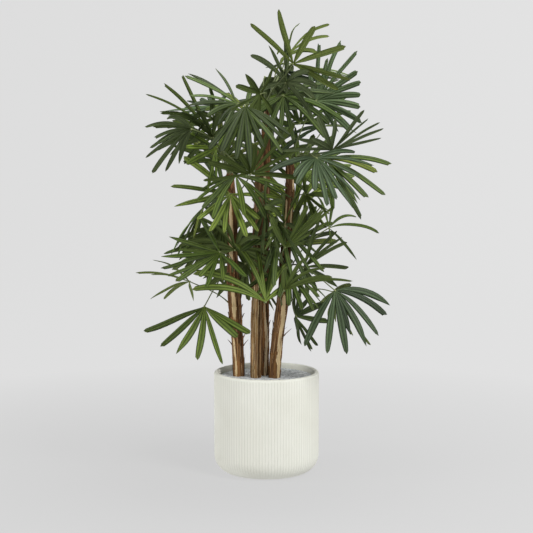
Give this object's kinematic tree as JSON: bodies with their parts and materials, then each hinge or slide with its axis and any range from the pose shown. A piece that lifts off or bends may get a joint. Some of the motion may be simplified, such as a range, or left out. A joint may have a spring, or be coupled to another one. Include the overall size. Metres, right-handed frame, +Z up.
{
  "type": "artificial lady palm in a planter",
  "caption": "Free-standing artificial lady palm: upright fibre-covered canes with fan-shaped fronds on slim stalks, planted in a round ribbed planter.",
  "frame": {"origin": "middle of the planter's flat underside", "axes": "+Z up through the palm, -Y towards the front, +X to the right as seen from the front"},
  "size_m": [0.8218, 0.8014, 1.4834],
  "materials": {
    "pot": "matt off-white with fine upright ribs",
    "fill": "pale grey mottled stone topping",
    "cane": "rough brown fibre sheath with pale bare strips",
    "leaf_yellow_green": "matt printed fabric leaf, darker and slightly glossier in its folds",
    "leaf_mid_green": "matt printed fabric leaf, darker and slightly glossier in its folds",
    "leaf_deep_green": "matt printed fabric leaf, darker and slightly glossier in its folds",
    "leaf_grey_green": "matt printed fabric leaf, darker and slightly glossier in its folds",
    "leaf_shade_green": "matt printed fabric leaf, darker and slightly glossier in its folds",
    "leaf_blue_green": "matt printed fabric leaf, darker and slightly glossier in its folds"
  },
  "bodies": {
    "root": {"pot": "pot", "fill": "fill", "cane_left": "cane", "cane_mid_left": "cane", "cane_mid_right": "cane", "cane_right": "cane", "frond_01": "leaf_yellow_green", "frond_02": "leaf_mid_green", "frond_03": "leaf_yellow_green", "frond_04": "leaf_blue_green", "frond_05": "leaf_grey_green", "frond_06": "leaf_grey_green", "frond_07": "leaf_deep_green", "frond_08": "leaf_shade_green", "frond_09": "leaf_blue_green", "frond_10": "leaf_grey_green", "frond_11": "leaf_deep_green", "frond_12": "leaf_grey_green", "frond_13": "leaf_blue_green", "frond_14": "leaf_mid_green", "frond_15": "leaf_shade_green", "frond_16": "leaf_shade_green", "frond_17": "leaf_mid_green", "frond_18": "leaf_blue_green", "frond_19": "leaf_grey_green", "frond_20": "leaf_shade_green", "frond_21": "leaf_grey_green", "frond_22": "leaf_mid_green", "frond_23": "leaf_blue_green", "frond_24": "leaf_mid_green", "frond_25": "leaf_deep_green", "frond_26": "leaf_shade_green", "frond_27": "leaf_deep_green", "frond_28": "leaf_mid_green", "frond_29": "leaf_shade_green", "frond_30": "leaf_shade_green", "frond_31": "leaf_yellow_green", "frond_32": "leaf_mid_green", "frond_33": "leaf_shade_green", "frond_34": "leaf_mid_green", "frond_35": "leaf_yellow_green", "frond_36": "leaf_deep_green", "frond_37": "leaf_shade_green", "frond_38": "leaf_deep_green", "frond_39": "leaf_mid_green", "frond_40": "leaf_mid_green", "frond_41": "leaf_deep_green", "frond_42": "leaf_deep_green", "frond_43": "leaf_deep_green", "frond_44": "leaf_mid_green", "frond_45": "leaf_deep_green", "frond_46": "leaf_shade_green", "frond_47": "leaf_shade_green", "frond_48": "leaf_mid_green", "frond_49": "leaf_yellow_green", "frond_50": "leaf_blue_green", "frond_51": "leaf_yellow_green", "frond_52": "leaf_yellow_green", "frond_53": "leaf_yellow_green", "frond_54": "leaf_shade_green"}
  },
  "joints": []
}
